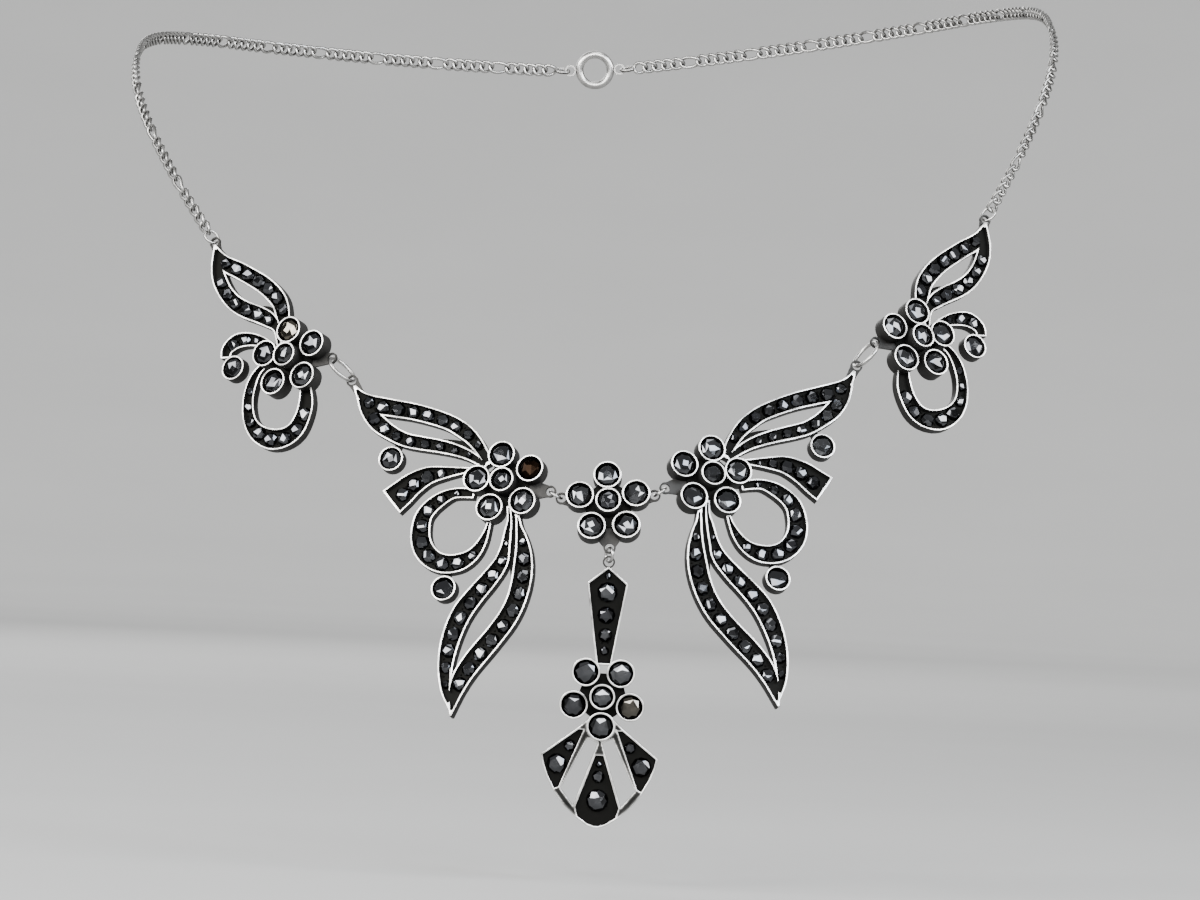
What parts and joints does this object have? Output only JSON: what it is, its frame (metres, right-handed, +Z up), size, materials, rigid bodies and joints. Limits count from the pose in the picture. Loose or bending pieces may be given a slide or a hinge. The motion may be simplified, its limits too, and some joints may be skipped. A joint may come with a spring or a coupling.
{
  "type": "marcasite necklace",
  "caption": "Necklace worn round a neck: flower with hinged drop, winged and looped openwork plates set with small cut stones, and a fine chain closed at the nape.",
  "frame": {"origin": "the nape, where the clasp rests at the back of the neck", "axes": "+Z up, the necklace's front faces -Y, +X to the right as seen from the front"},
  "size_m": [0.136, 0.1307, 0.1223],
  "materials": {
    "silver_plates": "oxidised silver with bright worn rims",
    "small_marcasites": "small faceted iron pyrites, metallic dark grey",
    "cut_marcasites": "large faceted iron pyrites, metallic dark grey",
    "polished_wire": "polished silver wire, a little tarnished",
    "silver_chain": "flat curb chain of silver, darkened between the links"
  },
  "bodies": {
    "necklace": {"middle_flower": "silver_plates", "wing_left": "silver_plates", "wing_right": "silver_plates", "side_left": "silver_plates", "side_right": "silver_plates", "wing_left_pave": "small_marcasites", "wing_right_pave": "small_marcasites", "side_left_pave": "small_marcasites", "side_right_pave": "small_marcasites", "inner_ring_left": "polished_wire", "inner_ring_right": "polished_wire", "outer_ring_left": "polished_wire", "outer_ring_right": "polished_wire", "chain_ring_left": "polished_wire", "chain_ring_right": "polished_wire", "chain_left": "silver_chain", "chain_right": "silver_chain", "clasp": "polished_wire", "middle_stone_0": "cut_marcasites", "middle_stone_1": "cut_marcasites", "middle_stone_2": "cut_marcasites", "middle_stone_3": "cut_marcasites", "middle_stone_4": "cut_marcasites", "middle_stone_5": "cut_marcasites", "wing_left_stone_0": "cut_marcasites", "wing_left_stone_1": "cut_marcasites", "wing_left_stone_2": "cut_marcasites", "wing_left_stone_3": "cut_marcasites", "wing_left_stone_4": "cut_marcasites", "wing_left_stone_5": "cut_marcasites", "wing_right_stone_0": "cut_marcasites", "wing_right_stone_1": "cut_marcasites", "wing_right_stone_2": "cut_marcasites", "wing_right_stone_3": "cut_marcasites", "wing_right_stone_4": "cut_marcasites", "wing_right_stone_5": "cut_marcasites", "side_left_stone_0": "cut_marcasites", "side_left_stone_1": "cut_marcasites", "side_left_stone_2": "cut_marcasites", "side_left_stone_3": "cut_marcasites", "side_left_stone_4": "cut_marcasites", "side_left_stone_5": "cut_marcasites", "side_right_stone_0": "cut_marcasites", "side_right_stone_1": "cut_marcasites", "side_right_stone_2": "cut_marcasites", "side_right_stone_3": "cut_marcasites", "side_right_stone_4": "cut_marcasites", "side_right_stone_5": "cut_marcasites"},
    "drop_ring": {"drop_ring": "polished_wire"},
    "drop": {"drop": "silver_plates", "drop_pave": "small_marcasites", "drop_stone_0": "cut_marcasites", "drop_stone_1": "cut_marcasites", "drop_stone_2": "cut_marcasites", "drop_stone_3": "cut_marcasites", "drop_stone_4": "cut_marcasites", "drop_stone_5": "cut_marcasites"}
  },
  "joints": [
    {"name": "ring_swing", "type": "hinge", "parent": "necklace", "child": "drop_ring", "pos_m": [0.00571, -0.12496, -0.07257], "axis": [1, 0, 0], "range_deg": [-45, 5]},
    {"name": "drop_sway", "type": "hinge", "parent": "drop_ring", "child": "drop", "pos_m": [0.00571, -0.12496, -0.07457], "axis": [0, 1, 0], "range_deg": [-25, 25]}
  ]
}
